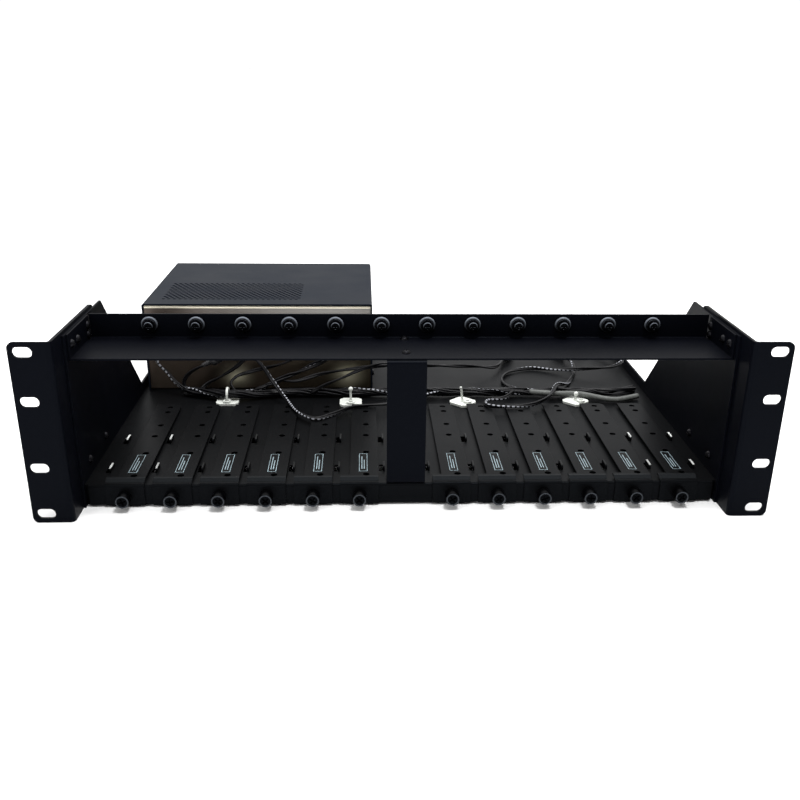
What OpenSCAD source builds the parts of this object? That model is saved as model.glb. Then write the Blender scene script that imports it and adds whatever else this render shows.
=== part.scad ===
/* [Rack face] */
// Width over both rack ears
rack_w = 482.6; // [430:0.1:600]
// Width of one ear, from the side panel to its outer edge
ear_w = 26.3; // [22:0.1:40]
// Length of the ear's side flange, from its front face
ear_d = 98; // [70:1:150]
// Sheet thickness of the ears
ear_t = 2; // [1.2:0.1:3]
// Outer radius of the ear's bend
ear_bend_r = 3.2; // [3:0.1:6]
// Radius of the ear's free corners
ear_corner_r = 4; // [1:0.5:6]
// Distance between the two slots of an end pair
slot_end_gap = 31.75; // [20:0.01:50]
// Distance between the upper and the lower pair of slots
slot_mid_gap = 44.45; // [30:0.01:80]
// Distance from the end slots to the top or bottom edge
slot_margin = 6.35; // [5:0.01:12]
// Distance from the slot centres to the ear's outer edge
slot_edge = 8.75; // [7:0.01:12]
// Length of a mounting slot
slot_l = 12; // [9:0.1:15]
// Height of a mounting slot
slot_h = 6.8; // [5:0.1:8]

/* [Body] */
// Depth of the body, from its front lips to its rear edge
body_d = 360; // [300:1:500]
// How far the body's front sits behind the ears' front faces
front_step = 21; // [13:0.5:40]
// Sheet thickness of the side panels
side_t = 1.5; // [1:0.1:2.5]
// How far the side panels stay below the ears' top edges
side_drop = 2.2; // [0.5:0.1:10]
// Depth of the side panel's full-height part, along its top edge
gusset_d = 91.5; // [60:0.5:120]
// Height of the low rear side walls above the deck
side_lip_h = 8.4; // [4:0.1:14]
// Sheet thickness of the deck
deck_t = 1.2; // [1:0.1:2]
// Height of the deck's upper face above the ears' bottom edges
deck_z = 15.6; // [14:0.1:24]
// Height of the front lips' lower edge
lip_lift = 1.6; // [1:0.1:4]
// Outer radius of the sheet bends
bend_r = 2; // [1.6:0.1:4]

/* [Top rail] */
// How far the rail's front edge sits behind the front lips
rail_setback = 3.6; // [2:0.1:8]
// Depth of the rail's level flange
rail_d = 48.4; // [38:0.1:65]
// Height of the rail's upright flange above the level one
rail_h = 16.3; // [13:0.1:24]
// How far the rail stays below the ears' top edges
rail_drop = 1.65; // [0.5:0.05:6]
// Sheet thickness of the rail
rail_t = 1.2; // [1:0.1:2]
// How far each end of the upright flange stays off the side panel
rail_notch = 2; // [1.5:0.1:8]

/* [Carriers] */
// Number of module places, half of them on each side of the centre plate
slot_count = 12; // [12:1:12]
// Free width between a side panel and the first place
end_gap = 10.7; // [8:0.1:20]
// Gap between the front lips of two neighbours
lip_gap = 5.4; // [3:0.1:8]
// Sheet thickness of the carriers
carrier_t = 1.2; // [1:0.1:2]
// How far the tongue is joggled up above the carrier's foot
tongue_rise = 1.8; // [1.2:0.1:3]
// How far the tongue's left edge is set in from the lip's
tongue_inset = 6.4; // [4:0.1:10]
// Depth of the carrier's full-width part
foot_d = 10; // [9:0.5:20]
// Radius of the tongue's rear corner
tongue_corner_r = 5; // [2:0.5:8]
// Diameter of the holes in the tongue
tongue_hole_d = 4.6; // [3:0.1:6]
// Clear depth for the leads between the tongues and the supply box
cable_bay = 44; // [38:1:60]

/* [Thumbscrews] */
// Diameter of the front knobs
knob_d = 9.4; // [8:0.1:11]
// Length of the front knobs
knob_l = 9.5; // [6:0.1:14]
// Diameter of the rail screws' collars
collar_d = 11.4; // [9:0.1:12]
// Diameter of the rail screws' heads
head_d = 6; // [5:0.1:8]
// Diameter of the thumbscrews' shanks
shank_d = 3.5; // [3:0.1:4]
// Radial clearance of a screw in its hole
screw_fit = 0.3; // [0.2:0.05:0.5]

/* [Power supply] */
// Width of the supply box
psu_w = 189; // [150:1:200]
// Height of the supply box
psu_h = 74.6; // [60:0.1:90]
// Depth of the supply box
psu_d = 161.2; // [120:0.1:200]
// Gap between the supply box and the body's rear edge
psu_rear_gap = 5.8; // [3:0.1:20]
// Gap between the supply box and the left side panel
psu_side_gap = 4; // [3:0.1:20]
// Sheet thickness of the supply box
psu_t = 1.2; // [1:0.1:2]
// Width of the perforated field in the cover
vent_w = 119; // [60:1:120]
// Depth of the perforated field in the cover
vent_d = 63; // [30:1:90]
// Distance between the holes of the perforated field
vent_pitch = 4.6; // [4.2:0.1:8]
// Diameter of the holes of the perforated field
vent_hole_d = 2.8; // [2:0.1:3.2]

/* [Leads] */
// Diameter of a single lead
lead_d = 3.4; // [3:0.1:3.8]
// Diameter of the bundled harness
harness_d = 8; // [6:0.1:8.4]
// Diameter of the output cable that joins the harness at the first clip
branch_d = 5.6; // [4:0.1:6]
// Diameter of the cable that leaves the harness at the right
tail_d = 5; // [4:0.1:5.4]

/* [Hidden] */
$fn = 48;
over = 1;
fit = 0.2;
half = 1 / 2;

// Heights, from the ears' bottom edges up
ear_h = slot_end_gap * 2 + slot_mid_gap + slot_margin * 2;
side_h = ear_h - side_drop;
rail_top = ear_h - rail_drop;
rail_z = rail_top - rail_h;
deck_under = deck_z - deck_t;
foot_z = deck_z + carrier_t;
tongue_z = foot_z + tongue_rise;

// Depths, with the whole frame centred on y
frame_d = front_step + body_d;
y_ear = -frame_d * half;
y_lip = y_ear + front_step;
y_deck = y_lip + carrier_t;
y_rear = frame_d * half;
psu_back = y_rear - psu_rear_gap;
psu_front = psu_back - psu_d;
tongue_l = body_d - psu_rear_gap - psu_d - cable_bay;
y_tongue_end = y_lip + tongue_l;
y_rail_front = y_lip + rail_setback;
y_rail = y_rail_front + rail_d;

// Widths
body_w = rack_w - ear_w * 2;
inner_w = body_w - side_t * 2;
pitch = (inner_w - end_gap * 2) / (slot_count + 1);
lip_w = pitch - lip_gap;
tongue_w = lip_w - tongue_inset;
psu_left = -inner_w * half + psu_side_gap;
psu_mid = psu_left + psu_w * half;

slot_heights = [
  slot_margin, slot_margin + slot_end_gap, ear_h - slot_margin - slot_end_gap,
  ear_h - slot_margin];

// Module places, counted from the centre plate outwards
side_count = slot_count * half;
places = [for (k = [-side_count : side_count]) if (k != 0) k * pitch];
borders = [for (k = [0 : slot_count + 1]) (k - (slot_count + 1) * half) * pitch];
rail_places = [for (k = [0 : slot_count - 1]) (k - (slot_count - 1) * half) * pitch];

// Front lip and carrier details
screw_z = 8.2;
hole_r = shank_d * half + screw_fit;
lip_side_relief = 2.5;
under_tab_w = 18.5;
under_tab_drop = 1;
joggle_start = 3.2;
joggle_run = 3;
hole_column = 8.3;
tongue_hole_shares = [0.07, 0.328, 0.545, 0.695, 0.885, 0.957];

// Guide lances stamped up from the deck
lance_l = 11;
lance_w = 4;
lance_h = 3.4;
lance_corner = 2.2;
lance_row_shares = [0.185, 0.534];

// Small screws with pan heads
pan_head_d = 6;
pan_head_h = 2.2;
pan_shank_d = 3.6;
pan_recess_w = 1;
pan_recess_l = 3.8;
pan_recess_h = 1.1;
pan_hole_r = pan_shank_d * half + fit;

// Rail end tabs and the screws that hold them to panel and ear
tab_front = 0.6;
tab_top_gap = 0.2;
tab_screw_y_shares = [0.1426, 0.4008, 0.9174, 0.9174];
tab_screw_z_shares = [0.4785, 0.4417, 0.5767, 0.1963];
low_screw_y_shares = [0.2857, 0.8312];
low_screw_z = 26;
rivet_y_shares = [0.28, 0.5, 0.72, 0.94];
rivet_z = 8;
rivet_r = 1.6;
rivet_head_r = 2.8;
rivet_head_h = 0.8;
ear_back_r = 7;

tab_screws = [for (i = [0 : len(tab_screw_y_shares) - 1])
  [y_rail_front + tab_screw_y_shares[i] * rail_d, rail_z + tab_screw_z_shares[i] * rail_h]];
low_screw_y = [for (share = low_screw_y_shares) y_lip + share * (ear_d - front_step)];

// Centre plate
plate_top_over = 1.6;
plate_foot_d = 14;
plate_screw_inset = 12.4;
plate_foot_screw_y = 9;
plate_screw_y = [y_rail_front + plate_screw_inset, y_rail - bend_r * 2];

// Thumbscrew details
knob_neck_l = 1.5;
knob_neck_r = 3.6;
knob_edge = 0.7;
knob_groove_n = 20;
knob_groove_r = 0.5;
knob_recess_l = 6;
knob_recess_w = 1.2;
knob_recess_h = 1.8;
screw_tail = 5;
collar_l = 2.6;
collar_round = 1.2;
step_d = 8.6;
step_l = 1.3;
head_l = 2.8;
head_dome = 0.7;
head_recess_l = 3.6;
head_recess_w = 0.9;
head_recess_h = 1.3;
rail_screw_h = 9.2;
rail_screw_z = rail_z + rail_screw_h;

// Supply box details
cover_lap = 1.4;
cover_bend_r = 2;
vent_front_gap = 15.4;
vent_left_gap = 12.5;
wall_top_d = 9;
psu_inside = psu_t + fit;
standoff_h = 6;
standoff_r = 3;
board_t = 1.6;
board_front_gap = 16;
board_rear_gap = 26;
board_inset = 6;
cover_screw_z = 7;
cover_screw_inset = 26;
base_flange_h = 13;
outlet_z = 50.4;
outlet_first = 19.5;
outlet_last = 13.5;
outlet_count = 5;
outlet_pitch = (psu_w - outlet_first - outlet_last) / (outlet_count - 1);
grommet_r = 5;
grommet_bore_r = 2.2;
grommet_lip_r = 6.6;
grommet_lip_t = 2;
inlet_w = 27;
inlet_h = 20;
inlet_body_d = 20;
inlet_flange_w = 48;
inlet_flange_h = 24;
inlet_flange_t = 2.6;
inlet_socket_w = 24;
inlet_socket_h = 16.4;
inlet_socket_d = 15;
inlet_z = 36;
inlet_from_right = 44;
inlet_screw_gap = 40;
pin_w = 2;
pin_h = 4;
pin_l = 12;
pin_spread = 7;
pin_low = -1;
pin_high = 4.6;

board_side_gap = 12;
board_w = psu_w - psu_inside * 2 - board_side_gap * 2;
board_d = psu_d - board_front_gap - board_rear_gap;
board_x = psu_left + psu_inside + board_side_gap;
board_y = psu_back - board_rear_gap - board_d;
board_z = deck_z + psu_t + standoff_h;
psu_post_x = [board_x + board_inset, board_x + board_w - board_inset];
psu_post_y = [board_y + board_inset, board_y + board_d - board_inset];
cover_screw_y = [psu_front + cover_screw_inset, psu_back - cover_screw_inset];
inlet_x = psu_left + psu_w - inlet_from_right;
inlet_mid = deck_z + inlet_z;

capacitor_r = 9;
capacitor_h = 30;
capacitor_gap = 22;
sink_gap = 18;
sink_w = 44;
sink_h = 34;
fin_count = 7;
fin_t = 1.8;
fin_d = 9;
terminal_w = 44;
terminal_d = 12;
terminal_h = 16;
core_w = 42;
core_d = 28;
core_h = 36;
coil_w = 26;
coil_d = 42;
coil_h = 24;

// Cable clips on the deck behind the tongues
clip_size = 18;
clip_t = 1.8;
clip_cut = 3;
clip_gap = 10.8;
clip_x_shares = [-0.3267, -0.0906, 0.1262, 0.348];
clip_y_shares = [0.14, -0.08, -0.08, -0.02];
clip_post_shares = [1, 1.3, 1.75, 0.62];
clip_leans = [0, 0, 12, 0];
clip_turn = [0, 0, 45, 45];
clip_eye_front = 5.3;
clip_ring_r = 3.3;
clip_ring_bore_r = 1.8;
clip_ring_h = 1.8;
clip_post_r = 0.9;
clip_post_h = 7.6;
clip_ball_r = 1.9;
clip_strap_w = 1.8;
clip_strap_fit = 1.4;
clip_strap_t = 1.2;
clip_strap_back = 1.1;

// Routes of the harness and the leads
harness_route = [
  [-177, 9, 20], [-158, 2, 21], [-140, -6, 22.4], [-120, -1, 20.8], [-100, 4, 20],
  [100, 5, 20], [186, 3, 20], [203, 10, 20]];
branch_route = [
  [-34, 23.9, 66], [-34.5, 16, 65], [-44, 14, 55], [-73, 15, 39], [-98, 8, 30],
  [-114, 1, 24.5], [-122, -1, 21]];
tail_route = [
  [112, 4, 20], [134, -2, 20.6], [152, -2.6, 20.6], [180, -12, 18.6], [203, -3, 18.6]];
loop_route = [
  [-72, 1, 21], [-60, 3.5, 27], [-46, 6.5, 32], [-28, 9.5, 39], [-10, 12, 43], [6, 11, 39],
  [20, 5, 25]];
lead_1_route = [
  [-190, 23.9, 66], [-190.5, 16, 65.4], [-197, 11, 57], [-198, 12, 44], [-191, 13, 35],
  [-184, 10, 27], [-174, 6, 21]];
lead_2_route = [
  [-166.5, 8, 20.5], [-174, 12.5, 19.6], [-178.5, 14.5, 23.5], [-176.5, 15, 30],
  [-170, 15, 36], [-162, 15.5, 40]];
lead_3_route = [
  [-112, 23.9, 66], [-112.4, 16, 65.2], [-119, 12.5, 56], [-132, 14, 41], [-147, 14, 31],
  [-158, 11, 26], [-163, 6, 22]];
lead_4_route = [
  [-73, 23.9, 66], [-73.3, 16, 65.2], [-78, 12.5, 55], [-92, 16, 43], [-122, 15, 35],
  [-134, 10, 32], [-138, 5, 28], [-133, -1, 22]];
lead_5_route = [
  [-151, 23.9, 66], [-150.4, 16, 65.4], [-143, 8, 62], [-116, 3, 49], [-103, -3, 33],
  [-92, -16, 22.5], [-78, -46, 20.5], [-65, -58, 20.5], [-52, -48, 20.5], [-36, -32, 20.5],
  [-8, -25, 20.5], [14, -12, 20.5], [34, 3, 20.5]];
lead_6_route = [
  [98, 2, 21], [88, -12, 20.5], [73, -18, 20.5], [72, -30, 20.5], [92, -33, 20.5],
  [112, -26, 20.5], [126, -14, 23.5], [134, 2, 26.5], [150, 32, 18], [163, 66, 17.6],
  [165, 86, 20.4], [161.6, 104, 20.4]];
lead_7_route = [
  [142, 5, 21], [124, 14, 17.6], [104, 18, 17.5], [94, 38, 17.5], [102, 64, 17.5],
  [124, 76, 17.5], [146, 69, 18.5], [170, 59, 22.6], [196, 59, 24.6], [210, 76, 26],
  [202, 108, 20.4], [189, 127, 20.4]];
lead_8_route = [
  [-94, 8, 29], [-84, 6, 29.5], [-62, 12, 34], [-12, 17, 39], [27, 30, 35], [66, 50, 28],
  [92, 72, 20.4], [101, 92, 20.4]];
loop_d = 3;
plug_body_r = 4.4;
plug_body_l = 18;
plug_neck_r = 3;
plug_neck_l = 8;
plug_tip_r = 2.75;
plug_tip_l = 9;
plug_bore_r = 1.25;

// A flat outline given in y and z, drawn out along x from x0
module along_x(x0, w) {
  translate([x0, 0, 0]) rotate([90, 0, 90]) linear_extrude(w) children();
}

// A box between two opposite corners
module block(a, b) {
  translate(a) cube(b - a);
}

// A bent sheet seen from its end: legs a along x and b along y, outer radius r
module bent_sheet(a, b, t, r) {
  translate([r, 0]) square([a - r, t]);
  translate([0, r]) square([t, b - r]);
  translate([r, r]) intersection() {
    difference() {
      circle(r);
      circle(r - t);
    }
    translate([-r, -r]) square(r);
  }
}

// What is cut away to round a corner at the origin, with the material on the +x +y side
module corner_cut(r, h) {
  difference() {
    translate([-over, -over, -over]) cube([r + over, r + over, h + over * 2]);
    translate([r, r, -over * 2]) cylinder(r = r, h = h + over * 4);
  }
}

// A round hole along y, from y0 for a length l
module hole_y(x, y0, z, r, l) {
  translate([x, y0 + l, z]) rotate([90, 0, 0]) cylinder(r = r, h = l);
}

// A round hole along x, from x0 for a length l
module hole_x(x0, y, z, r, l) {
  translate([x0, y, z]) rotate([0, 90, 0]) cylinder(r = r, h = l);
}

// A slot along x through a sheet that stands in the x-z plane
module slot_y(x, y0, z, l, h, depth) {
  reach = (l - h) * half;
  for (s = [-1, 1]) hole_y(x + s * reach, y0, z, h * half, depth);
  block([x - reach, y0, z - h * half], [x + reach, y0 + depth, z + h * half]);
}

// Deck: an upturned tray with front and rear flanges and stamped guide lances
module lance_opening(x, y) {
  block([x - lance_w * half, y - lance_l * half, deck_under - over],
        [x + lance_w * half, y + lance_l * half, deck_z + over]);
}

module lance_tab(x, y) {
  top = deck_z + lance_h;
  along_x(x + lance_w * half - deck_t, deck_t) {
    translate([y - lance_l * half, deck_under]) square([lance_l, top - lance_corner - deck_under]);
    translate([y - lance_l * half + lance_corner, deck_under])
      square([lance_l - lance_corner * 2, top - deck_under]);
    for (s = [-1, 1]) translate([y + s * (lance_l * half - lance_corner), top - lance_corner])
      circle(lance_corner);
  }
}

module chassis_deck() {
  wide = inner_w * half;
  lip_half = wide - lip_side_relief;
  color([0.1, 0.1, 0.11]) difference() {
    union() {
      along_x(-lip_half, lip_half * 2) translate([y_deck, deck_z]) mirror([0, 1])
        bent_sheet(deck_t * 3 + bend_r, deck_z - lip_lift, deck_t, bend_r);
      block([-wide, y_deck + bend_r, deck_under], [wide, y_rear - bend_r, deck_z]);
      along_x(-lip_half, lip_half * 2) translate([y_rear, deck_z]) rotate(180)
        bent_sheet(deck_t * 3 + bend_r, deck_z, deck_t, bend_r);
      for (x = places) block([x - under_tab_w * half, y_deck, lip_lift - under_tab_drop],
                             [x + under_tab_w * half, y_deck + deck_t, deck_z - bend_r]);
      for (s = [0, 1]) mirror([s, 0, 0])
        block([-wide, y_deck + bend_r * 2, 0], [-wide + deck_t, y_rear - bend_r * 2, deck_z]);
    }
    for (x = places) hole_y(x, y_deck - over, screw_z, hole_r, deck_t + over * 2);
    for (x = borders) for (share = lance_row_shares) lance_opening(x, y_lip + share * tongue_l);
    translate([0, y_deck + plate_foot_screw_y, deck_under - over])
      cylinder(r = pan_hole_r, h = deck_t + over * 2);
    for (x = psu_post_x) for (y = psu_post_y) translate([x, y, deck_under - over])
      cylinder(r = pan_hole_r, h = deck_t + over * 2);
    for (s = [0, 1]) mirror([s, 0, 0]) for (share = rivet_y_shares)
      hole_x(-wide - over, y_lip + share * body_d, rivet_z, rivet_r + fit, deck_t + over * 2);
  }
  color([0.1, 0.1, 0.11])
    for (x = borders) for (share = lance_row_shares) lance_tab(x, y_lip + share * tongue_l);
}

// Side panels: full height in front, a slanted rear edge, then a low wall to the back
module side_panel_left() {
  x0 = -body_w * half;
  low = deck_z + side_lip_h;
  peak = y_lip + gusset_d;
  color([0.09, 0.09, 0.1]) difference() {
    along_x(x0, side_t) polygon([
      [y_lip, 0], [y_rear, 0], [y_rear, low], [peak + side_h - low, low],
      [peak, side_h], [y_lip, side_h]]);
    for (p = tab_screws)
      hole_x(x0 - over, p[0], p[1], pan_hole_r, side_t + over * 2);
    for (y = low_screw_y)
      hole_x(x0 - over, y, low_screw_z, pan_hole_r, side_t + over * 2);
    for (share = rivet_y_shares)
      hole_x(x0 - over, y_lip + share * body_d, rivet_z, rivet_r + fit, side_t + over * 2);
  }
}

// Rack ears: a slotted front flange bent from a long side flange
module rack_ear_left() {
  outer = -rack_w * half;
  inner = -body_w * half;
  wide = inner - outer;
  color([0.1, 0.1, 0.12]) difference() {
    translate([inner, y_ear, 0]) linear_extrude(ear_h)
      mirror([1, 0]) bent_sheet(wide, ear_d, ear_t, ear_bend_r);
    for (z = slot_heights)
      slot_y(outer + slot_edge, y_ear - over, z, slot_l, slot_h, ear_t + over * 2);
    for (s = [0, 1]) translate([outer, y_ear, s * ear_h]) mirror([0, 0, s])
      rotate([90, 0, 0]) mirror([0, 0, 1]) corner_cut(ear_corner_r, ear_t);
    for (s = [0, 1]) translate([inner, y_ear + ear_d, s * ear_h]) mirror([0, 0, s])
      rotate([0, -90, 0]) mirror([0, 1, 0]) corner_cut(ear_back_r, ear_t);
    for (p = tab_screws)
      hole_x(inner - ear_t - over, p[0], p[1], pan_hole_r, ear_t + over * 2);
    for (y = low_screw_y)
      hole_x(inner - ear_t - over, y, low_screw_z, pan_hole_r, ear_t + over * 2);
  }
}

// Top rail: level flange, upright flange behind it and a tab up at each end
module top_rail() {
  reach = inner_w * half - fit;
  upright = inner_w * half - rail_notch;
  y_back = y_rail + rail_t;
  tab_top = side_h - tab_top_gap;
  color([0.1, 0.1, 0.11]) difference() {
    union() {
      block([-reach, y_rail_front, rail_z - rail_t], [reach, y_back - bend_r, rail_z]);
      along_x(-upright, upright * 2) translate([y_back, rail_z - rail_t]) mirror([1, 0])
        bent_sheet(bend_r + rail_t, rail_h + rail_t, rail_t, bend_r);
      for (s = [0, 1]) mirror([s, 0, 0])
        block([-reach, y_rail_front + tab_front, rail_z - rail_t],
              [-reach + rail_t, y_rail, tab_top]);
    }
    for (x = rail_places) hole_y(x, y_rail - over, rail_screw_z, hole_r, rail_t + over * 2);
    for (y = plate_screw_y) translate([0, y, rail_z - rail_t - over])
      cylinder(r = pan_hole_r, h = rail_t + over * 2);
    for (s = [0, 1]) mirror([s, 0, 0]) for (p = tab_screws)
      hole_x(-reach - over, p[0], p[1], pan_hole_r, rail_t + over * 2);
  }
}

// Centre plate: closes the middle place and props the rail off the deck
module centre_plate() {
  top = rail_z - rail_t;
  color([0.12, 0.12, 0.14]) difference() {
    along_x(-lip_w * half, lip_w) {
      translate([y_deck, deck_z]) bent_sheet(plate_foot_d, (top - deck_z) * half, deck_t, bend_r);
      translate([y_deck, top]) mirror([0, 1])
        bent_sheet(y_rail + plate_top_over - y_deck, (top - deck_z) * half, deck_t, bend_r);
    }
    for (y = plate_screw_y) translate([0, y, top - deck_t - over])
      cylinder(r = pan_hole_r, h = deck_t + over * 2);
    translate([0, y_deck + plate_foot_screw_y, deck_z - over])
      cylinder(r = pan_hole_r, h = deck_t + over * 2);
  }
}

// One carrier: front lip, foot, joggle and a raised tongue with a row of holes
module carrier(i) {
  x = places[i];
  left = x - lip_w * half;
  tongue_left = left + tongue_inset;
  right = x + lip_w * half;
  ramp = y_lip + joggle_start;
  flat = ramp + joggle_run;
  color([0.11, 0.11, 0.12]) difference() {
    union() {
      along_x(left, lip_w) {
        translate([y_lip, foot_z]) mirror([0, 1])
          bent_sheet(joggle_start, foot_z - lip_lift, carrier_t, bend_r);
        polygon([
          [ramp, foot_z - carrier_t], [flat, tongue_z - carrier_t], [flat, tongue_z],
          [ramp, foot_z]]);
        translate([flat, tongue_z - carrier_t]) square([foot_d - joggle_start - joggle_run, carrier_t]);
      }
      block([tongue_left, flat, tongue_z - carrier_t], [right, y_tongue_end, tongue_z]);
    }
    hole_y(x, y_lip - over, screw_z, hole_r, carrier_t + over * 2);
    for (share = tongue_hole_shares)
      translate([right - hole_column, y_lip + share * tongue_l, tongue_z - carrier_t - over])
        cylinder(d = tongue_hole_d, h = carrier_t + over * 2);
    translate([right, y_tongue_end, tongue_z - carrier_t]) rotate(180)
      corner_cut(tongue_corner_r, carrier_t);
  }
}

// A cross recess that is cut into a head along -z
module cross_recess(l, w, h) {
  for (a = [0, 90]) rotate(a) translate([-l * half, -w * half, -h]) cube([l, w, h + over]);
}

// Front knob: fluted grip on a neck, with its shank through lip and deck flange
module carrier_screw(i) {
  color([0.05, 0.05, 0.06]) translate([places[i], y_lip, screw_z]) rotate([90, 0, 0]) {
    difference() {
      rotate_extrude() polygon([
        [0, -carrier_t - deck_t - screw_tail], [shank_d * half, -carrier_t - deck_t - screw_tail],
        [shank_d * half, 0], [knob_neck_r, 0], [knob_neck_r, knob_neck_l],
        [knob_d * half - knob_edge, knob_neck_l], [knob_d * half, knob_neck_l + knob_edge],
        [knob_d * half, knob_l - knob_edge], [knob_d * half - knob_edge, knob_l], [0, knob_l]]);
      for (k = [0 : knob_groove_n - 1]) rotate(k * 360 / knob_groove_n)
        translate([knob_d * half, 0, knob_neck_l - over])
          cylinder(r = knob_groove_r, h = knob_l + over, $fn = 4);
      translate([0, 0, knob_l]) cross_recess(knob_recess_l, knob_recess_w, knob_recess_h);
    }
  }
}

// Rail screw: a rounded collar, a step and a small domed head with a cross recess
module rail_screw(i) {
  r = collar_d * half;
  top = collar_l + step_l + head_l;
  color([0.05, 0.05, 0.06]) translate([rail_places[i], y_rail, rail_screw_z]) rotate([90, 0, 0])
    difference() {
      rotate_extrude() {
        translate([0, -rail_t - screw_tail]) square([shank_d * half, rail_t + screw_tail + over]);
        square([r, collar_l - collar_round]);
        square([r - collar_round, collar_l]);
        intersection() {
          translate([r - collar_round, collar_l - collar_round]) circle(collar_round);
          square([r, collar_l]);
        }
        square([step_d * half, collar_l + step_l]);
        square([head_d * half, top - head_dome]);
        square([head_d * half - head_dome, top]);
        intersection() {
          translate([head_d * half - head_dome, top - head_dome]) circle(head_dome);
          square([head_d * half, top]);
        }
      }
      translate([0, 0, top]) cross_recess(head_recess_l, head_recess_w, head_recess_h);
    }
}

// Pan head screw that points along -z, with its head's seat at z = 0
module pan_screw(l) {
  dome_r = (pan_head_d * pan_head_d * half * half + pan_head_h * pan_head_h) / (pan_head_h * 2);
  difference() {
    union() {
      rotate_extrude() intersection() {
        translate([0, pan_head_h - dome_r]) circle(dome_r);
        square([pan_head_d * half, pan_head_h]);
      }
      translate([0, 0, -l]) cylinder(d = pan_shank_d, h = l + pan_recess_h);
    }
    translate([0, 0, pan_head_h]) cross_recess(pan_recess_l, pan_recess_w, pan_recess_h);
  }
}

// Rivet that points along -z, with its head's seat at z = 0 and a flat upset end
module rivet(l) {
  rotate_extrude() polygon([
    [0, -l - rivet_head_h], [rivet_head_r - rivet_head_h, -l - rivet_head_h],
    [rivet_head_r - rivet_head_h, -l], [rivet_r, -l], [rivet_r, 0], [rivet_head_r, 0],
    [rivet_head_r, rivet_head_h * half], [rivet_head_r - rivet_head_h, rivet_head_h],
    [0, rivet_head_h]]);
}

// Every small screw and rivet of the frame and of the supply box
module pan_head_screws() {
  seat = inner_w * half;
  tab_seat = seat - fit - rail_t;
  color([0.16, 0.16, 0.17]) {
    for (s = [0, 1]) mirror([s, 0, 0]) {
      for (p = tab_screws) translate([-tab_seat, p[0], p[1]])
        rotate([0, 90, 0]) pan_screw(rail_t + fit + side_t + ear_t);
      for (y = low_screw_y) translate([-seat, y, low_screw_z])
        rotate([0, 90, 0]) pan_screw(side_t + ear_t);
      for (share = rivet_y_shares) translate([-body_w * half, y_lip + share * body_d, rivet_z])
        rotate([0, -90, 0]) rivet(side_t + deck_t);
    }
    for (y = plate_screw_y) translate([0, y, rail_z]) pan_screw(rail_t + deck_t);
    translate([0, y_deck + plate_foot_screw_y, deck_z + deck_t]) pan_screw(deck_t * 2);
    for (x = psu_post_x) for (y = psu_post_y) translate([x, y, deck_under])
      rotate([180, 0, 0]) pan_screw(deck_t + psu_t + standoff_h * half);
    for (s = [0, 1]) for (y = cover_screw_y)
      translate([psu_mid + (s * 2 - 1) * psu_w * half, y, deck_z + cover_screw_z])
        rotate([0, (s * 2 - 1) * 90, 0]) pan_screw(psu_t * 2 + fit);
  }
}

// Base of the supply box: floor, front and rear walls, two low side flanges
module psu_base() {
  left = psu_left + psu_inside;
  right = psu_left + psu_w - psu_inside;
  top = deck_z + psu_h - psu_inside;
  front = psu_front + cover_lap;
  back = psu_back - cover_lap;
  color([0.33, 0.31, 0.27]) difference() {
    union() {
      along_x(left, right - left) {
        translate([front, deck_z]) bent_sheet(psu_d * half, psu_h * half, psu_t, bend_r);
        translate([back, deck_z]) mirror([1, 0])
          bent_sheet(psu_d * half, psu_h * half, psu_t, bend_r);
        translate([front, top]) mirror([0, 1])
          bent_sheet(wall_top_d, top - deck_z - psu_h * half, psu_t, bend_r);
        translate([back, top]) rotate(180)
          bent_sheet(wall_top_d, top - deck_z - psu_h * half, psu_t, bend_r);
      }
      for (x = [left, right - psu_t])
        block([x, front + bend_r * 2, deck_z], [x + psu_t, back - bend_r * 2, deck_z + base_flange_h]);
      for (x = psu_post_x) for (y = psu_post_y)
        translate([x, y, deck_z]) cylinder(r = standoff_r, h = psu_t + standoff_h);
    }
    for (x = psu_post_x) for (y = psu_post_y)
      translate([x, y, deck_z - over]) cylinder(r = pan_hole_r, h = psu_t + standoff_h - over);
    for (k = [0 : outlet_count - 1])
      hole_y(psu_left + outlet_first + k * outlet_pitch, front - over, deck_z + outlet_z,
             grommet_r + fit, psu_t + over * 2);
    block([inlet_x - inlet_w * half - fit, back - psu_t - over, inlet_mid - inlet_h * half - fit],
          [inlet_x + inlet_w * half + fit, back + over, inlet_mid + inlet_h * half + fit]);
    for (s = [-1, 1])
      hole_y(inlet_x + s * inlet_screw_gap * half, back - psu_t - over, inlet_mid,
             pan_hole_r, psu_t + over * 2);
    for (y = cover_screw_y)
      hole_x(left - over, y, deck_z + cover_screw_z, pan_hole_r, right - left + over * 2);
    for (s = [0, 1]) translate([s == 0 ? left : right, front, top]) mirror([s, 0, 0])
      mirror([0, 0, 1]) rotate([90, 0, 0]) mirror([0, 0, 1]) corner_cut(cover_bend_r, psu_d);
  }
}

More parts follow.
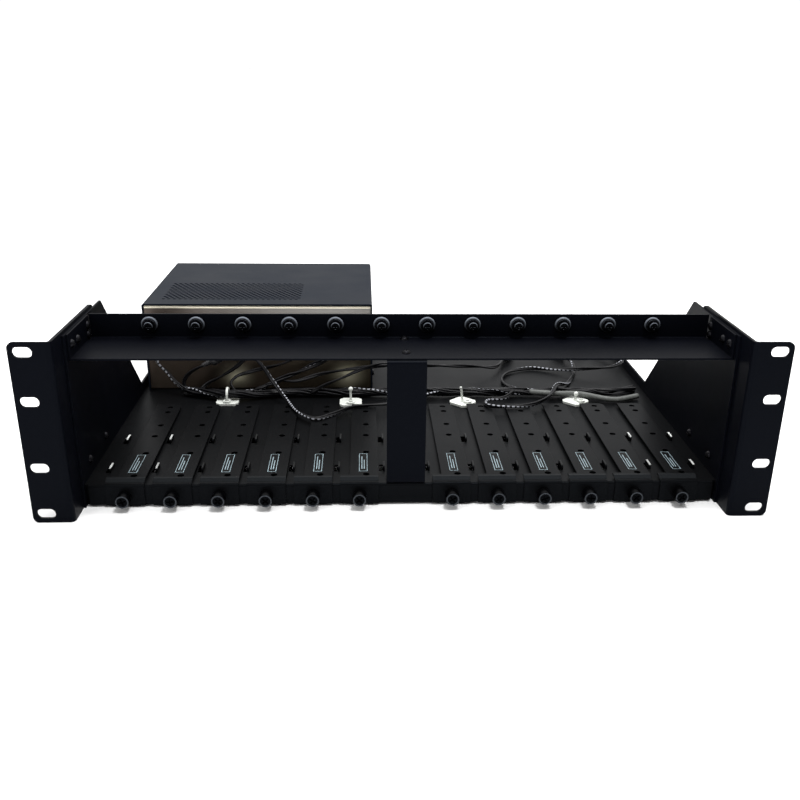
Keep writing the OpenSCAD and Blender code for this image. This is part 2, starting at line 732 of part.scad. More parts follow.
// Cover of the supply box: top and sides in one bent sheet, with a perforated field
module psu_cover() {
  left = psu_left;
  right = psu_left + psu_w;
  top = deck_z + psu_h;
  row_step = vent_pitch * sqrt(3) * half;
  rows = floor(vent_d / row_step);
  columns = floor(vent_w / vent_pitch);
  color([0.14, 0.14, 0.15]) difference() {
    union() {
      for (s = [0, 1]) translate([psu_mid, psu_front, 0]) mirror([s, 0, 0])
        translate([psu_w * half, psu_d, top]) rotate([90, 0, 0]) linear_extrude(psu_d)
          rotate(180) bent_sheet(cover_bend_r + psu_t, psu_h, psu_t, cover_bend_r);
      translate([left + cover_bend_r, psu_front, top - psu_t])
        linear_extrude(psu_t) difference() {
          square([psu_w - cover_bend_r * 2, psu_d]);
          for (j = [0 : rows - 1]) for (i = [0 : columns - 1])
            translate([vent_left_gap - cover_bend_r + (i + half * (j % 2) + half) * vent_pitch,
                       vent_front_gap + (j + half) * row_step])
              circle(d = vent_hole_d, $fn = 24);
        }
    }
    for (y = cover_screw_y)
      hole_x(left - over, y, deck_z + cover_screw_z, pan_hole_r, psu_w + over * 2);
  }
}

// Circuit board with its soldered parts: capacitors, finned heat sink, terminals, transformer
module psu_board() {
  top = board_z + board_t;
  right = board_x + board_w;
  color([0.1, 0.3, 0.16]) difference() {
    union() {
      translate([board_x, board_y, board_z]) cube([board_w, board_d, board_t]);
      for (k = [1, 2]) translate([right - capacitor_gap, board_y + capacitor_gap * k, top])
        cylinder(r = capacitor_r, h = capacitor_h);
      translate([board_x + sink_gap, board_y + sink_gap, top]) {
        cube([sink_w, fin_t, sink_h]);
        for (k = [0 : fin_count - 1])
          translate([k * (sink_w - fin_t) / (fin_count - 1), 0, 0]) cube([fin_t, fin_d, sink_h]);
      }
      translate([right - capacitor_gap - terminal_w, board_y + board_d - terminal_d - sink_gap, top])
        cube([terminal_w, terminal_d, terminal_h]);
      translate([board_x + board_w * half, board_y + board_d * half, top]) transformer();
    }
    for (x = psu_post_x) for (y = psu_post_y)
      translate([x, y, board_z - over]) cylinder(r = pan_hole_r, h = board_t + over * 2);
  }
}

// Transformer: a laminated core round a wound bobbin, seated on the board
module transformer() {
  translate([-core_w * half, -core_d * half, 0]) cube([core_w, core_d, core_h]);
  translate([-coil_w * half, -coil_d * half, (core_h - coil_h) * half]) cube([coil_w, coil_d, coil_h]);
}

// Mains inlet in the rear wall, with three flat pins in its socket
module ac_inlet() {
  back = psu_back - cover_lap;
  color([0.06, 0.06, 0.06]) difference() {
    union() {
      block([inlet_x - inlet_w * half, back - inlet_body_d, inlet_mid - inlet_h * half],
            [inlet_x + inlet_w * half, back + over, inlet_mid + inlet_h * half]);
      block([inlet_x - inlet_flange_w * half, back, inlet_mid - inlet_flange_h * half],
            [inlet_x + inlet_flange_w * half, back + inlet_flange_t, inlet_mid + inlet_flange_h * half]);
    }
    block([inlet_x - inlet_socket_w * half, back + inlet_flange_t - inlet_socket_d,
           inlet_mid - inlet_socket_h * half],
          [inlet_x + inlet_socket_w * half, back + inlet_flange_t + over,
           inlet_mid + inlet_socket_h * half]);
    for (s = [-1, 1])
      hole_y(inlet_x + s * inlet_screw_gap * half, back - over, inlet_mid,
             pan_hole_r, inlet_flange_t + over * 2);
  }
  color([0.7, 0.7, 0.7]) {
    for (s = [-1, 1]) inlet_pin(inlet_x + s * pin_spread, inlet_mid + pin_low);
    inlet_pin(inlet_x, inlet_mid + pin_high);
  }
}

module inlet_pin(x, z) {
  y = psu_back - cover_lap + inlet_flange_t - inlet_socket_d;
  block([x - pin_w * half, y - over, z - pin_h * half], [x + pin_w * half, y + pin_l, z + pin_h * half]);
}

// Rubber grommets in the supply's front wall, one for each lead that leaves it
module outlet_grommets() {
  front = psu_front + cover_lap;
  color([0.04, 0.04, 0.04]) for (k = [0 : outlet_count - 1])
    translate([psu_left + outlet_first + k * outlet_pitch, front, deck_z + outlet_z])
      rotate([90, 0, 0]) rotate_extrude() polygon([
        [0, -psu_t - grommet_lip_t], [grommet_lip_r, -psu_t - grommet_lip_t],
        [grommet_lip_r, -psu_t], [grommet_r, -psu_t], [grommet_r, 0], [grommet_lip_r, 0],
        [grommet_r, grommet_lip_t * half], [grommet_bore_r, grommet_lip_t], [0, grommet_lip_t]]);
}

// Adhesive clip base with cut corners and a raised eye
module clip_base() {
  s = clip_size * half;
  c = s - clip_cut;
  difference() {
    union() {
      linear_extrude(clip_t) polygon([
        [-s, -c], [-c, -s], [c, -s], [s, -c], [s, c], [c, s], [-c, s], [-s, c]]);
      translate([0, -clip_eye_front, clip_t - fit]) cylinder(r = clip_ring_r, h = clip_ring_h + fit);
    }
    translate([0, -clip_eye_front, clip_t]) cylinder(r = clip_ring_bore_r, h = clip_ring_h + over);
  }
}

// Open clip: its tail stands up, with a ball at the end where it doesn't lean
module open_clip(post_h, lean) {
  clip_base();
  translate([0, 0, clip_t - clip_post_r]) rotate([0, -lean, 0]) {
    cylinder(r = clip_post_r, h = post_h + clip_post_r);
    if (lean == 0) translate([0, 0, post_h + clip_post_r + clip_ball_r * half])
      sphere(r = clip_ball_r);
  }
}

// Closed clip: its strap is looped over the harness and pressed into the eye
module closed_clip() {
  r = harness_d * half + clip_strap_fit;
  lift = clip_t + harness_d * half + fit;
  clip_base();
  translate([0, clip_strap_back, 0]) {
    translate([-clip_strap_w * half, 0, lift]) rotate([90, 0, 90]) linear_extrude(clip_strap_w)
      intersection() {
        difference() {
          circle(r + clip_strap_t);
          circle(r);
        }
        translate([-r - clip_strap_t, 0]) square([(r + clip_strap_t) * 2, r + clip_strap_t]);
      }
    for (s = [0, 1]) mirror([0, s, 0])
      block([-clip_strap_w * half, r, clip_t - fit], [clip_strap_w * half, r + clip_strap_t, lift]);
  }
}

module cable_clips() {
  color([0.9, 0.9, 0.86]) for (i = [0 : len(clip_x_shares) - 1])
    translate([clip_x_shares[i] * inner_w, y_tongue_end + clip_gap + clip_y_shares[i] * clip_size,
               deck_z]) rotate(clip_turn[i])
      if (i == 0) closed_clip(); else open_clip(clip_post_h * clip_post_shares[i], clip_leans[i]);
}

// A tube swept through the points of a route, with one ring at each point
function unit(v) = v / norm(v);
function heading(p, i) = unit(p[min(i + 1, len(p) - 1)] - p[max(i - 1, 0)]);
function across(u, t) = unit(u - (u * t) * t);
function sides(p) = [
  for (i = 0, u = across([0.1, 0.2, 1], heading(p, 0)); i < len(p);
       i = i + 1, u = i < len(p) ? across(u, heading(p, i)) : u) u];

module tube(p, d) {
  n = 8;
  u = sides(p);
  rings = [for (i = [0 : len(p) - 1]) let (t = heading(p, i), v = cross(t, u[i]))
    for (a = [0 : n - 1]) p[i] + (u[i] * cos(a * 360 / n) + v * sin(a * 360 / n)) * d * half];
  last = (len(p) - 1) * n;
  faces = concat(
    [[for (a = [0 : n - 1]) a]],
    [for (i = [0 : len(p) - 2]) for (a = [0 : n - 1]) let (b = (a + 1) % n, k = i * n)
      each [[k + a, k + n + a, k + b], [k + b, k + n + a, k + n + b]]],
    [[for (a = [n - 1 : -1 : 0]) last + a]]);
  polyhedron(rings, faces, convexity = n);
}

module dc_harness() {
  color([0.05, 0.05, 0.05]) {
    tube(harness_route, harness_d);
    tube(branch_route, branch_d);
    tube(tail_route, tail_d);
    tube(loop_route, loop_d);
  }
}

module dc_lead(route) {
  color([0.05, 0.05, 0.05]) tube(route, lead_d);
}

// Plug at the end of a route: neck, grip and a hollow metal tip
module plug_at(route) {
  end = route[len(route) - 1];
  t = unit(end - route[len(route) - 2]);
  turn = atan2(t[1], t[0]);
  tilt = acos(t[2]);
  translate(end) rotate([0, tilt, turn]) difference() {
    rotate_extrude() polygon([
      [0, 0], [lead_d * half, 0], [plug_neck_r, plug_neck_l], [plug_body_r, plug_neck_l],
      [plug_body_r, plug_neck_l + plug_body_l], [plug_tip_r, plug_neck_l + plug_body_l],
      [plug_tip_r, plug_neck_l + plug_body_l + plug_tip_l], [0, plug_neck_l + plug_body_l + plug_tip_l]]);
    translate([0, 0, plug_neck_l + plug_body_l]) cylinder(r = plug_bore_r, h = plug_tip_l + over);
  }
}

module dc_plugs() {
  color([0.07, 0.07, 0.07])
    for (route = [lead_2_route, lead_6_route, lead_7_route, lead_8_route]) plug_at(route);
}

chassis_deck();
side_panel_left();  // left_side_panel
mirror([1, 0, 0]) side_panel_left();  // right_side_panel
rack_ear_left();  // left_rack_ear
mirror([1, 0, 0]) rack_ear_left();  // right_rack_ear
top_rail();
centre_plate();
pan_head_screws();
carrier(0);  // carrier_01
carrier(1);  // carrier_02
carrier(2);  // carrier_03
carrier(3);  // carrier_04
carrier(4);  // carrier_05
carrier(5);  // carrier_06
carrier(6);  // carrier_07
carrier(7);  // carrier_08
carrier(8);  // carrier_09
carrier(9);  // carrier_10
carrier(10);  // carrier_11
carrier(11);  // carrier_12
carrier_screw(0);  // carrier_screw_01
carrier_screw(1);  // carrier_screw_02
carrier_screw(2);  // carrier_screw_03
carrier_screw(3);  // carrier_screw_04
carrier_screw(4);  // carrier_screw_05
carrier_screw(5);  // carrier_screw_06
carrier_screw(6);  // carrier_screw_07
carrier_screw(7);  // carrier_screw_08
carrier_screw(8);  // carrier_screw_09
carrier_screw(9);  // carrier_screw_10
carrier_screw(10);  // carrier_screw_11
carrier_screw(11);  // carrier_screw_12
rail_screw(0);  // rail_screw_01
rail_screw(1);  // rail_screw_02
rail_screw(2);  // rail_screw_03
rail_screw(3);  // rail_screw_04
rail_screw(4);  // rail_screw_05
rail_screw(5);  // rail_screw_06
rail_screw(6);  // rail_screw_07
rail_screw(7);  // rail_screw_08
rail_screw(8);  // rail_screw_09
rail_screw(9);  // rail_screw_10
rail_screw(10);  // rail_screw_11
rail_screw(11);  // rail_screw_12
psu_base();
psu_cover();
psu_board();
ac_inlet();
outlet_grommets();
cable_clips();
dc_harness();
dc_lead(lead_1_route);  // dc_lead_1
dc_lead(lead_2_route);  // dc_lead_2
dc_lead(lead_3_route);  // dc_lead_3
dc_lead(lead_4_route);  // dc_lead_4
dc_lead(lead_5_route);  // dc_lead_5
dc_lead(lead_6_route);  // dc_lead_6
dc_lead(lead_7_route);  // dc_lead_7
dc_lead(lead_8_route);  // dc_lead_8
dc_plugs();
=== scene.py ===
# %% [markdown]
# # A media converter chassis
# This lesson dresses a finished sheet-metal model. The model comes in as a fixed frame, in metres,
# with every part in its place, so nothing here is moved or resized. We add what a drawing leaves
# out: the paint, the strands in the harness, the knurls on the knobs, the labels, and the light.

# %% Load the frame
import math
import random

import bmesh
import bpy
from mathutils import Matrix, Vector


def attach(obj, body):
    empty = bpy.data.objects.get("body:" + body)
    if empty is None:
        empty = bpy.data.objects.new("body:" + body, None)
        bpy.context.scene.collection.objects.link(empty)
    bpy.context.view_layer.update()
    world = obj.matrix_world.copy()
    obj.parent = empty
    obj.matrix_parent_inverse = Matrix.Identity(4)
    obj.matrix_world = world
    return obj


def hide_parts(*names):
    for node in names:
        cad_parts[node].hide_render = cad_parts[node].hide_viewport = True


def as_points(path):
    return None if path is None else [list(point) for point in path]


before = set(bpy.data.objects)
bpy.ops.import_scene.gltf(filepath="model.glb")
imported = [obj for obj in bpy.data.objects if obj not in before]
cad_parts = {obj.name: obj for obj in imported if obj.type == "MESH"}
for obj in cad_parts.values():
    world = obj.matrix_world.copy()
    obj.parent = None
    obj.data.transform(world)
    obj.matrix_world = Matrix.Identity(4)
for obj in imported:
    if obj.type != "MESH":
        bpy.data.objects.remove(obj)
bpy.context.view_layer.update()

scene = bpy.context.scene
mm = 0.001

# %% [markdown]
# ## The camera
# The chassis was photographed from the front, a little left of the middle and looking down by
# about 23 degrees. A camera could be set by eye, but the slots of the rack ears stand at known
# distances, so their places in the picture fix the viewpoint to within a pixel. The values below
# are the result: where the lens stood, how it was turned, and its focal length in pixels.

# %% Camera
lens_place = Vector((-27.655, -747.28, 284.777)) * mm
yaw, pitch, roll = math.radians(-3.250), math.radians(23.198), math.radians(0.919)
focal_px, centre_px, side_px = 946.814, (413.93, 455.29), 800
sensor_mm = 36.0

level = Matrix(((1, 0, 0), (0, 0, -1), (0, 1, 0)))
turn_z = Matrix(((math.cos(yaw), math.sin(yaw), 0), (-math.sin(yaw), math.cos(yaw), 0), (0, 0, 1)))
turn_x = Matrix(((1, 0, 0), (0, math.cos(pitch), -math.sin(pitch)),
                 (0, math.sin(pitch), math.cos(pitch))))
turn_y = Matrix(((math.cos(roll), -math.sin(roll), 0), (math.sin(roll), math.cos(roll), 0), (0, 0, 1)))
right, down, ahead = (turn_y @ turn_x @ level @ turn_z).row

lens = bpy.data.cameras.new("photo_lens")
lens.sensor_width = sensor_mm
lens.lens = focal_px / side_px * sensor_mm
lens.shift_x = (side_px / 2 - centre_px[0]) / side_px
lens.shift_y = (centre_px[1] - side_px / 2) / side_px
lens.clip_start, lens.clip_end = 0.02, 30
camera = bpy.data.objects.new("photo_camera", lens)
scene.collection.objects.link(camera)
place = Matrix((right, -down, -ahead)).transposed().to_4x4()
place.translation = lens_place
camera.matrix_world = place
scene.camera = camera
print("camera at", [round(c, 4) for c in lens_place], "lens", round(lens.lens, 2), "mm")

# %% [markdown]
# ## The leads
# Eight leads leave the supply box or the harness and lie about loosely. Each is two round strands
# joined side by side, and each follows the points that its solid follows in the model. A smooth
# curve through those points gives the path, and the twin section is swept along it with a slow
# twist. A bevelled curve would do, but a mesh can carry the distance along the lead, and the paint
# needs that distance to place the white trace dashes.

# %% Smooth path through given points
deck_top_mm = 15.6
half_lead_mm = 1.75
lowest_mm = deck_top_mm + half_lead_mm


def smooth_path(points_mm, step=2.2):
    """Points about one step apart on a curve through the given ones, never inside the deck.

    The roots of the distances space the curve, which keeps it from looping between near points.
    """
    knots = [Vector(p) for p in points_mm]
    knots = [knots[0] * 2 - knots[1]] + knots + [knots[-1] * 2 - knots[-2]]
    path = []
    for a, b, c, d in zip(knots, knots[1:], knots[2:], knots[3:]):
        count = max(2, round((c - b).length / step))
        ta, tb, tc = (max((q - p).length, 1e-6) ** 0.5 for p, q in ((a, b), (b, c), (c, d)))
        leave = (b - a) / ta - (c - a) / (ta + tb) + (c - b) / tb
        enter = (c - b) / tb - (d - b) / (tb + tc) + (d - c) / tc
        for i in range(count):
            t = i / count
            h = (2 * t**3 - 3 * t**2 + 1, t**3 - 2 * t**2 + t, 3 * t**2 - 2 * t**3, t**3 - t**2)
            at = b * h[0] + leave * tb * h[1] + c * h[2] + enter * tb * h[3]
            path.append(Vector((at.x, at.y, max(at.z, lowest_mm))) * mm)
    path.append(knots[-2] * mm)
    return path


def path_length(path):
    return sum((q - p).length for p, q in zip(path, path[1:]))


def frames_along(path):
    """A sideways and an upward direction at each point, turned as little as possible."""
    side = None
    for i, p in enumerate(path):
        t = (path[min(i + 1, len(path) - 1)] - path[max(i - 1, 0)]).normalized()
        side = t.orthogonal() if side is None else side - t * side.dot(t)
        side.normalize()
        yield p, t, side.copy(), t.cross(side)


print("a lead's middle stays above", lowest_mm, "mm")

# %% Sweep a section that knows how far along it is
def round_section(radius_mm, sides=12):
    """Angle and distance pairs of a round wire."""
    return [(2 * math.pi * k / sides, radius_mm) for k in range(sides)]


def twin_section(radius_mm, apart_mm, sides=20):
    """Angle and distance pairs of two round wires that are joined side by side."""
    pairs = []
    for k in range(sides):
        a = 2 * math.pi * k / sides
        reach = apart_mm * abs(math.cos(a)) + math.sqrt(radius_mm**2 - (apart_mm * math.sin(a)) ** 2)
        pairs.append((a, reach))
    return pairs


def add_tube(mesh, path, section, tone=0.0, twist_mm=0.0, phase=0.0):
    """Adds a closed tube. Its vertices carry the distance along, the place round, and a tone."""
    along = mesh.verts.layers.float["along"]
    around = mesh.verts.layers.float["around"]
    shade = mesh.verts.layers.float["tone"]
    rings, run, last = [], 0.0, None
    for p, t, u, v in frames_along(path):
        run += (p - last).length if last is not None else 0.0
        last = p
        turn = phase + (2 * math.pi * run / (twist_mm * mm) if twist_mm else 0.0)
        ring = []
        for a, reach in section:
            vert = mesh.verts.new(p + (u * math.cos(a + turn) + v * math.sin(a + turn)) * reach * mm)
            vert[along], vert[around], vert[shade] = run, math.cos(a), tone
            ring.append(vert)
        rings.append(ring)
    sides = len(section)
    for low, high in zip(rings, rings[1:]):
        for k in range(sides):
            face = mesh.faces.new((low[k], low[(k + 1) % sides], high[(k + 1) % sides], high[k]))
            face.smooth = True
    mesh.faces.new(rings[0][::-1])
    mesh.faces.new(rings[-1])


def new_bmesh():
    mesh = bmesh.new()
    for name in ("along", "around", "tone"):
        mesh.verts.layers.float.new(name)
    return mesh


def to_object(mesh, name, finish, body="chassis"):
    """Turns a bmesh into a piece with a finish that rides on a body."""
    data = bpy.data.meshes.new(name)
    bmesh.ops.recalc_face_normals(mesh, faces=mesh.faces)
    mesh.to_mesh(data)
    mesh.free()
    piece = bpy.data.objects.new(name, data)
    scene.collection.objects.link(piece)
    data.materials.append(finish)
    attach(piece, body)
    return piece


strand_r_mm, strand_apart_mm = 0.92, 0.78
print("a twin section has", len(twin_section(strand_r_mm, strand_apart_mm)), "corners")

# %% [markdown]
# ## Finishes for leads
# The insulation is soft black plastic with a dull shine. Some leads carry a white trace, printed as
# short dashes along one side, so an installer can tell them apart. A picture of dashes could be
# wrapped on, but the distance stored in the mesh places them to the tenth of a millimetre.

# %% Node helper
def new_material(name):
    """An empty node material, with a function that adds nodes and wires them up."""
    made = bpy.data.materials.new(name)
    made.use_nodes = True
    tree = made.node_tree
    tree.nodes.clear()

    def node(kind, values=None, links=None, **settings):
        n = tree.nodes.new(kind)
        for key, value in settings.items():
            setattr(n, key, value)
        for key, value in (values or {}).items():
            n.inputs[key].default_value = value
        for key, source in (links or {}).items():
            tree.links.new(source, n.inputs[key])
        return n

    return made, node


def ramp_between(node, source, low, high, to_low=0.0, to_high=1.0):
    """A value that runs from to_low to to_high as the source runs from low to high."""
    return node("ShaderNodeMapRange", {1: low, 2: high, 3: to_low, 4: to_high}, {0: source}).outputs[0]


def blend_colour(node, share, one, two):
    """Mixes two colours by a share that another node gives."""
    n = node("ShaderNodeMix", links={"Factor": share}, data_type="RGBA")
    for slot, value in ((6, one), (7, two)):
        if isinstance(value, tuple):
            n.inputs[slot].default_value = (*value, 1)
        else:
            n.id_data.links.new(value, n.inputs[slot])
    return n.outputs[2]


def multiply(node, one, two):
    """The product of two values, to let one mask cut another."""
    return node("ShaderNodeMath", {}, {0: one, 1: two}, operation="MULTIPLY").outputs[0]


print("helpers", [f.__name__ for f in (new_material, ramp_between, blend_colour, multiply)])

# %% Insulation with a dashed trace
def insulation(name, colour, trace, dash=2.0, gap=1.9, rough=0.42):
    made, node = new_material(name)
    along = node("ShaderNodeAttribute", attribute_name="along").outputs["Fac"]
    around = node("ShaderNodeAttribute", attribute_name="around").outputs["Fac"]
    tone = node("ShaderNodeAttribute", attribute_name="tone").outputs["Fac"]
    period = dash + gap
    step = node("ShaderNodeMath", {1: period * mm}, {0: along}, operation="DIVIDE").outputs[0]
    inside = node("ShaderNodeMath", {}, {0: step}, operation="FRACT").outputs[0]
    is_dash = ramp_between(node, inside, dash / period, dash / period + 0.04, 1, 0)
    on_side = ramp_between(node, around, 0.80, 0.88)
    has_trace = ramp_between(node, tone, 0.4, 0.6)
    mask = multiply(node, multiply(node, is_dash, on_side), has_trace)
    place_of = node("ShaderNodeTexCoord").outputs["Object"]
    scuff = node("ShaderNodeTexNoise", {"Scale": 240, "Detail": 4}, {"Vector": place_of}).outputs["Fac"]
    dull = ramp_between(node, scuff, 0.35, 0.7, rough - 0.08, rough + 0.12)
    wear_and_painted_reflection = blend_colour(node, ramp_between(node, scuff, 0.5, 0.8), colour,
                        tuple(c * 1.5 + 0.003 for c in colour))
    paint = blend_colour(node, mask, wear_and_painted_reflection, trace)
    fine = node("ShaderNodeTexNoise", {"Scale": 1500, "Detail": 2}, {"Vector": place_of}).outputs["Fac"]
    bump = node("ShaderNodeBump", {"Strength": 0.15, "Distance": 0.0001}, {"Height": fine}).outputs[0]
    shader = node("ShaderNodeBsdfPrincipled", {"Specular IOR Level": 0.14},
                  {"Base Color": paint, "Roughness": dull, "Normal": bump})
    node("ShaderNodeOutputMaterial", links={"Surface": shader.outputs[0]})
    return made


black_lead = insulation("black_insulation", (0.003, 0.003, 0.004), (0.30, 0.31, 0.34))
grey_lead = insulation("grey_insulation", (0.10, 0.105, 0.10), (0.3, 0.31, 0.32), rough=0.5)
print("lead finishes", black_lead.name, grey_lead.name)

# %% [markdown]
# ## Lay the leads
# Each route repeats the model's own points, in millimetres. Leads 1, 3, 4 and 5 go from a grommet in
# the supply box back into the harness. Leads 2, 6, 7 and 8 leave the harness and end in a plug.

# %% Routes and leads
routes = {
    "dc_lead_1": ((-190, 23.9, 66), (-190.5, 16, 65.4), (-197, 11, 57), (-198, 12, 44),
                  (-191, 13, 35), (-184, 10, 27), (-174, 6, 21)),
    "dc_lead_2": ((-166.5, 8, 20.5), (-174, 12.5, 19.6), (-178.5, 14.5, 23.5), (-176.5, 15, 30),
                  (-170, 15, 36), (-162, 15.5, 40)),
    "dc_lead_3": ((-112, 23.9, 66), (-112.4, 16, 65.2), (-119, 12.5, 56), (-132, 14, 41),
                  (-147, 14, 31), (-158, 11, 26), (-163, 6, 22)),
    "dc_lead_4": ((-73, 23.9, 66), (-73.3, 16, 65.2), (-78, 12.5, 55), (-92, 16, 43),
                  (-122, 15, 35), (-134, 10, 32), (-138, 5, 28), (-133, -1, 22)),
    "dc_lead_5": ((-151, 23.9, 66), (-150.4, 16, 65.4), (-143, 8, 62), (-116, 3, 49),
                  (-103, -3, 33), (-92, -16, 22.5), (-78, -46, 20.5), (-65, -58, 20.5),
                  (-52, -48, 20.5), (-36, -32, 20.5), (-8, -25, 20.5), (14, -12, 20.5),
                  (34, 3, 20.5)),
    "dc_lead_6": ((98, 2, 21), (88, -12, 20.5), (73, -18, 20.5), (72, -30, 20.5), (92, -33, 20.5),
                  (112, -26, 20.5), (126, -14, 23.5), (134, 2, 26.5), (150, 32, 18), (163, 66, 17.6),
                  (165, 86, 20.4), (161.6, 104, 20.4)),
    "dc_lead_7": ((142, 5, 21), (124, 14, 17.6), (104, 18, 17.5), (94, 38, 17.5), (102, 64, 17.5),
                  (124, 76, 17.5), (146, 69, 18.5), (170, 59, 22.6), (196, 59, 24.6), (210, 76, 26),
                  (202, 108, 20.4), (189, 127, 20.4)),
    "dc_lead_8": ((-94, 8, 29), (-84, 6, 29.5), (-62, 12, 34), (-12, 17, 39), (27, 30, 35),
                  (66, 50, 28), (92, 72, 20.4), (101, 92, 20.4)),
}
turned = {"dc_lead_1": 0.3, "dc_lead_2": 1.2, "dc_lead_3": 2.6, "dc_lead_4": 0.9, "dc_lead_5": 0.0,
          "dc_lead_6": 0.6, "dc_lead_7": 0.2, "dc_lead_8": 1.9}
with_trace = {"dc_lead_1", "dc_lead_5", "dc_lead_6", "dc_lead_7"}
usual_twist_mm, slack_twist_mm = 90, 150
paths, leads = {}, {}
for name, route in routes.items():
    path = smooth_path(route, 2.0)
    mesh = new_bmesh()
    add_tube(mesh, path, twin_section(strand_r_mm, strand_apart_mm), 1.0 if name in with_trace else 0.0,
             slack_twist_mm if name == "dc_lead_5" else usual_twist_mm, turned[name])
    piece = to_object(mesh, name + "_insulated", black_lead)
    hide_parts(name)
    paths[name], leads[name] = path, piece
    print(name, "length", round(path_length(path), 4))


def spaced(path, count=36):
    """About count of the path's own points, evenly taken, with both ends."""
    last = len(path) - 1
    count = min(count, last)
    return [tuple(path[round(i * last / count)]) for i in range(count + 1)]

# %% [markdown]
# ## Plugs
# A small barrel plug ends each loose lead: a ribbed sleeve that keeps the lead from kinking, a grip
# moulded in one with it, and a bare metal barrel. A lathe would turn all three from one
# outline, so we spin an outline here, once for the plastic and once for the metal.

# %% Spin an outline about a line
def add_turned(mesh, outline_mm, at, direction, steps=40):
    """Spins (radius, distance) pairs about the line from at along direction."""
    turn = Vector((0, 0, 1)).rotation_difference(Vector(direction))
    rings = []
    for r, z in outline_mm:
        if r <= 0:
            rings.append([mesh.verts.new(Vector(at) + turn @ Vector((0, 0, z)) * mm)])
            continue
        rings.append([mesh.verts.new(Vector(at) + turn @ Vector(
            (r * math.cos(2 * math.pi * k / steps), r * math.sin(2 * math.pi * k / steps), z)) * mm)
            for k in range(steps)])
    for low, high in zip(rings, rings[1:]):
        for k in range(steps):
            corners = [low[k % len(low)], low[(k + 1) % len(low)],
                       high[(k + 1) % len(high)], high[k % len(high)]]
            corners = list(dict.fromkeys(corners))
            if len(corners) > 2:
                mesh.faces.new(corners).smooth = True


def rounded(outline_mm, radius=0.3, steps=3):
    """The outline again, with each inner corner replaced by a small arc."""
    out = [outline_mm[0]]
    for a, b, c in zip(outline_mm, outline_mm[1:], outline_mm[2:]):
        a, b, c = Vector(a), Vector(b), Vector(c)
        cut = min(radius, (a - b).length * 0.45, (c - b).length * 0.45)
        p, q = b + (a - b).normalized() * cut, b + (c - b).normalized() * cut
        for i in range(steps + 1):
            t = i / steps
            out.append(tuple(p * (1 - t) ** 2 + b * 2 * t * (1 - t) + q * t**2))
    out.append(outline_mm[-1])
    return out


print("a square corner becomes", len(rounded([(0, 0), (1, 0), (1, 1)])), "points")

# %% [markdown]
# ## Moulded plastic and plated metal
# Moulded plastic keeps a faint grain from its tool, and its shine changes a little from place to
# place. Plated metal is smoother and takes its look from what it mirrors. Both are made from noise
# in the object's own space, so they need no unwrapping.

# %% Plastic and metal
def moulded(name, colour, rough=0.4, grain=900, depth=0.12, shine=0.5):
    made, node = new_material(name)
    place_of = node("ShaderNodeTexCoord").outputs["Object"]
    broad = node("ShaderNodeTexNoise", {"Scale": 60, "Detail": 3}, {"Vector": place_of}).outputs["Fac"]
    fine = node("ShaderNodeTexNoise", {"Scale": grain, "Detail": 3}, {"Vector": place_of}).outputs["Fac"]
    paint = blend_colour(node, ramp_between(node, broad, 0.35, 0.7), colour,
                         tuple(c * 0.86 for c in colour))
    dull = ramp_between(node, broad, 0.3, 0.7, rough - 0.05, rough + 0.07)
    round_edge = node("ShaderNodeBevel", {"Radius": 0.0002}, samples=4).outputs[0]
    bump = node("ShaderNodeBump", {"Strength": depth, "Distance": 0.0001},
                {"Height": fine, "Normal": round_edge}).outputs[0]
    shader = node("ShaderNodeBsdfPrincipled", {"Specular IOR Level": shine},
                  {"Base Color": paint, "Roughness": dull, "Normal": bump})
    node("ShaderNodeOutputMaterial", links={"Surface": shader.outputs[0]})
    return made


def bare_metal(name, colour, rough):
    made, node = new_material(name)
    place_of = node("ShaderNodeTexCoord").outputs["Object"]
    lines = node("ShaderNodeTexNoise", {"Scale": 700, "Detail": 4}, {"Vector": place_of}).outputs["Fac"]
    cloud = node("ShaderNodeTexNoise", {"Scale": 26, "Detail": 4}, {"Vector": place_of}).outputs["Fac"]
    paint = blend_colour(node, ramp_between(node, cloud, 0.35, 0.68), colour,
                         tuple(c * 0.72 for c in colour))
    dull = ramp_between(node, lines, 0.3, 0.7, rough - 0.06, rough + 0.1)
    round_edge = node("ShaderNodeBevel", {"Radius": 0.0003}, samples=4).outputs[0]
    bump = node("ShaderNodeBump", {"Strength": 0.05, "Distance": 0.0001},
                {"Height": lines, "Normal": round_edge}).outputs[0]
    shader = node("ShaderNodeBsdfPrincipled", {"Metallic": 1.0},
                  {"Base Color": paint, "Roughness": dull, "Normal": bump})
    node("ShaderNodeOutputMaterial", links={"Surface": shader.outputs[0]})
    return made


plug_plastic = moulded("plug_plastic", (0.02, 0.02, 0.022), 0.45)
nickel = bare_metal("nickel_plate", (0.72, 0.70, 0.66), 0.16)
print("plug finishes", plug_plastic.name, nickel.name)

